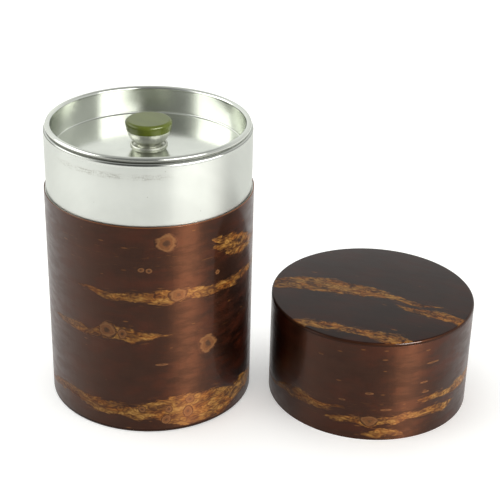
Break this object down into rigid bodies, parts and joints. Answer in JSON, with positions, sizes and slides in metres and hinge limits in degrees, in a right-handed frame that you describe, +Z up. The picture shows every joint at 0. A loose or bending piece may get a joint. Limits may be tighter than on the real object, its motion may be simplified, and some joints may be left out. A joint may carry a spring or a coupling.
{
  "type": "tea caddy",
  "caption": "Round tea caddy in polished cherry bark over a tin can with a bare neck, a drop-in inner lid with a green knob, and a bark cap that lifts off.",
  "frame": {"origin": "middle of the caddy's base, on the surface that it stands on", "axes": "+Z up along the caddy's axis, +X towards the cap standing beside it, -Y towards the viewer of the picture"},
  "size_m": [0.157, 0.0836, 0.1059],
  "materials": {
    "neck_tin": "satin tinplate with fine vertical sheen",
    "inner_tin": "dull tinplate",
    "lid_tin": "bright tinplate",
    "knob_metal": "satin metal",
    "green_lacquer": "pearl green lacquer, semi-gloss",
    "wall_bark": "polished dark cherry bark with golden lenticel bands",
    "disc_bark": "polished layered cherry bark with a sanded edge"
  },
  "bodies": {
    "canister": {"can_wall": "neck_tin", "can_bottom": "inner_tin", "body_sleeve": "inner_tin", "body_bark": "wall_bark", "base_bark": "disc_bark"},
    "inner_lid": {"lid_pan": "lid_tin", "knob_stem": "knob_metal", "knob_top": "green_lacquer", "knob_washer": "knob_metal", "knob_rivet": "knob_metal"},
    "cap": {"cap_tube": "inner_tin", "cap_plate": "inner_tin", "cap_bark": "wall_bark", "cap_top_bark": "disc_bark"}
  },
  "joints": [
    {"name": "lid_lift", "type": "slide", "parent": "canister", "child": "inner_lid", "axis": [0, 0, 1], "range_m": [0, 0.09]},
    {"name": "cap_lift", "type": "slide", "parent": "canister", "child": "cap", "axis": [0, 0, 1], "range_m": [0, 0.12]}
  ]
}
